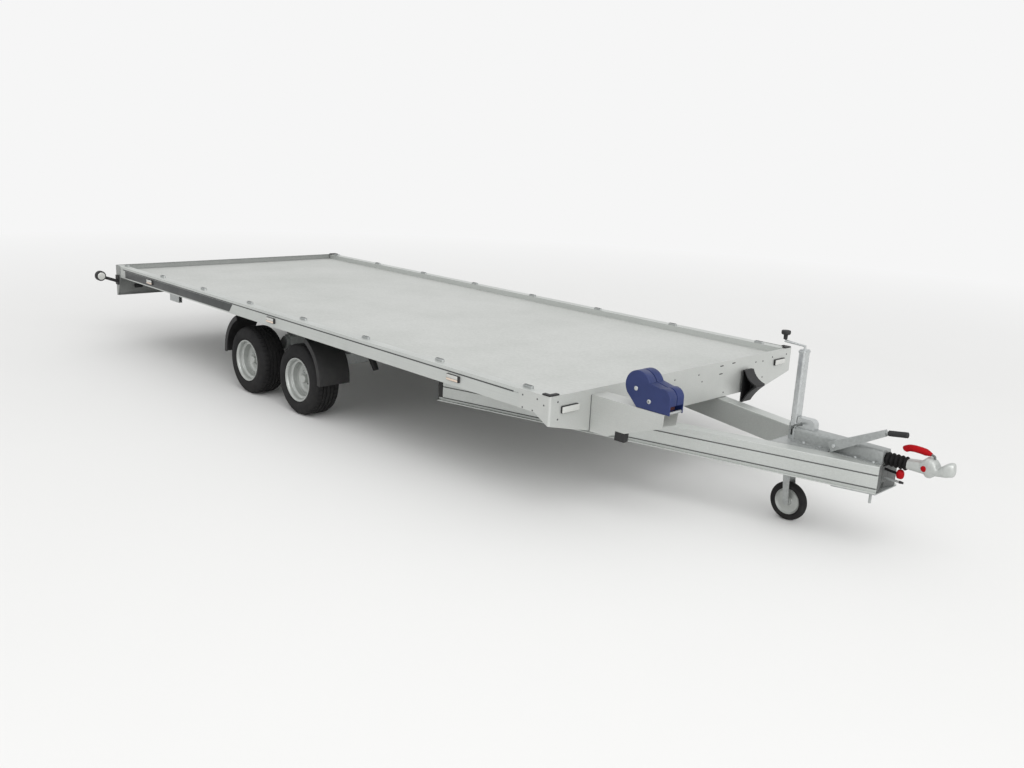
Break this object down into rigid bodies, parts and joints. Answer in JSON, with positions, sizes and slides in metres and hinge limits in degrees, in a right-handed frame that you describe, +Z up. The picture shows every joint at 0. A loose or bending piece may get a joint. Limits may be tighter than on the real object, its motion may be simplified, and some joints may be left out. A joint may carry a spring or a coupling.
{
  "type": "flatbed trailer",
  "caption": "Tandem-axle flatbed car trailer with low edge rails, a V drawbar, an overrun coupling, a winch post and a fold-away jockey wheel.",
  "frame": {"origin": "on the ground, below the middle of the whole trailer from the tail lamps to the coupling's nose", "axes": "+X forwards to the coupling, +Y to the trailer's left, +Z up"},
  "size_m": [6.565, 2.532, 0.96],
  "materials": {
    "deck_sheet": "smooth pale grey coated floor sheet",
    "aluminium": "satin, extruded and folded",
    "galvanised": "zinc coated",
    "cast_metal": "cast, zinc coated",
    "black_plastic": "moulded, matt",
    "rubber": "matt",
    "tyre": "matt",
    "rim": "satin silver",
    "lamp_lens": "clear moulded lens",
    "red_plastic": "moulded, glossy",
    "blue_plastic": "moulded, satin"
  },
  "bodies": {
    "chassis": {"deck": "deck_sheet", "side_rail_right": "aluminium", "side_rail_left": "aluminium", "rail_bracket_right": "aluminium", "rail_bracket_left": "aluminium", "front_panel": "aluminium", "rear_panel": "aluminium", "tail_lamp_right": "lamp_lens", "tail_lamp_left": "lamp_lens", "marker_arm_right": "rubber", "marker_arm_left": "rubber", "cross_member_1": "galvanised", "cross_member_2": "galvanised", "cross_member_3": "galvanised", "cross_member_4": "galvanised", "cross_member_5": "galvanised", "cross_member_6": "galvanised", "long_beam_right": "galvanised", "long_beam_left": "galvanised", "drawbar_right": "aluminium", "drawbar_left": "aluminium", "jockey_bridge": "galvanised", "nose_plate": "galvanised", "axle_front": "galvanised", "axle_rear": "galvanised", "mudguard_front_right": "black_plastic", "mudguard_front_left": "black_plastic", "mudguard_rear_right": "black_plastic", "mudguard_rear_left": "black_plastic", "overrun_housing": "galvanised", "bellows": "rubber", "coupling_head": "cast_metal", "coupling_handle": "red_plastic", "handbrake_lever": "galvanised", "handbrake_grip": "black_plastic", "jockey_tube": "galvanised", "crank_knob": "black_plastic", "winch_post": "aluminium", "winch_cover": "blue_plastic", "wheel_chock": "black_plastic", "chock_holder": "galvanised"},
    "wheel_front_right": {"wheel_front_right_tyre": "tyre", "wheel_front_right_rim": "rim"},
    "wheel_front_left": {"wheel_front_left_tyre": "tyre", "wheel_front_left_rim": "rim"},
    "wheel_rear_right": {"wheel_rear_right_tyre": "tyre", "wheel_rear_right_rim": "rim"},
    "wheel_rear_left": {"wheel_rear_left_tyre": "tyre", "wheel_rear_left_rim": "rim"},
    "jockey_slider": {"jockey_leg": "galvanised"},
    "jockey_arm": {"jockey_fork": "galvanised"},
    "jockey_wheel": {"jockey_tyre": "tyre", "jockey_rim": "rim"}
  },
  "joints": [
    {"name": "wheel_front_right_spin", "type": "hinge", "parent": "chassis", "child": "wheel_front_right", "pos_m": [-0.4985, -0.9365, 0.234], "axis": [0, 1, 0], "continuous": true},
    {"name": "wheel_front_left_spin", "type": "hinge", "parent": "chassis", "child": "wheel_front_left", "pos_m": [-0.4985, 0.9365, 0.234], "axis": [0, 1, 0], "continuous": true},
    {"name": "wheel_rear_right_spin", "type": "hinge", "parent": "chassis", "child": "wheel_rear_right", "pos_m": [-1.1545, -0.9365, 0.234], "axis": [0, 1, 0], "continuous": true},
    {"name": "wheel_rear_left_spin", "type": "hinge", "parent": "chassis", "child": "wheel_rear_left", "pos_m": [-1.1545, 0.9365, 0.234], "axis": [0, 1, 0], "continuous": true},
    {"name": "jockey_slide", "type": "slide", "parent": "chassis", "child": "jockey_slider", "axis": [0, 0, 1], "range_m": [-0.15, 0.1]},
    {"name": "jockey_fold", "type": "hinge", "parent": "jockey_slider", "child": "jockey_arm", "pos_m": [2.4875, 0, 0.262], "axis": [0, 1, 0], "range_deg": [0, 90]},
    {"name": "jockey_wheel_spin", "type": "hinge", "parent": "jockey_arm", "child": "jockey_wheel", "pos_m": [2.5015, 0, 0.1], "axis": [0, 1, 0], "continuous": true}
  ]
}
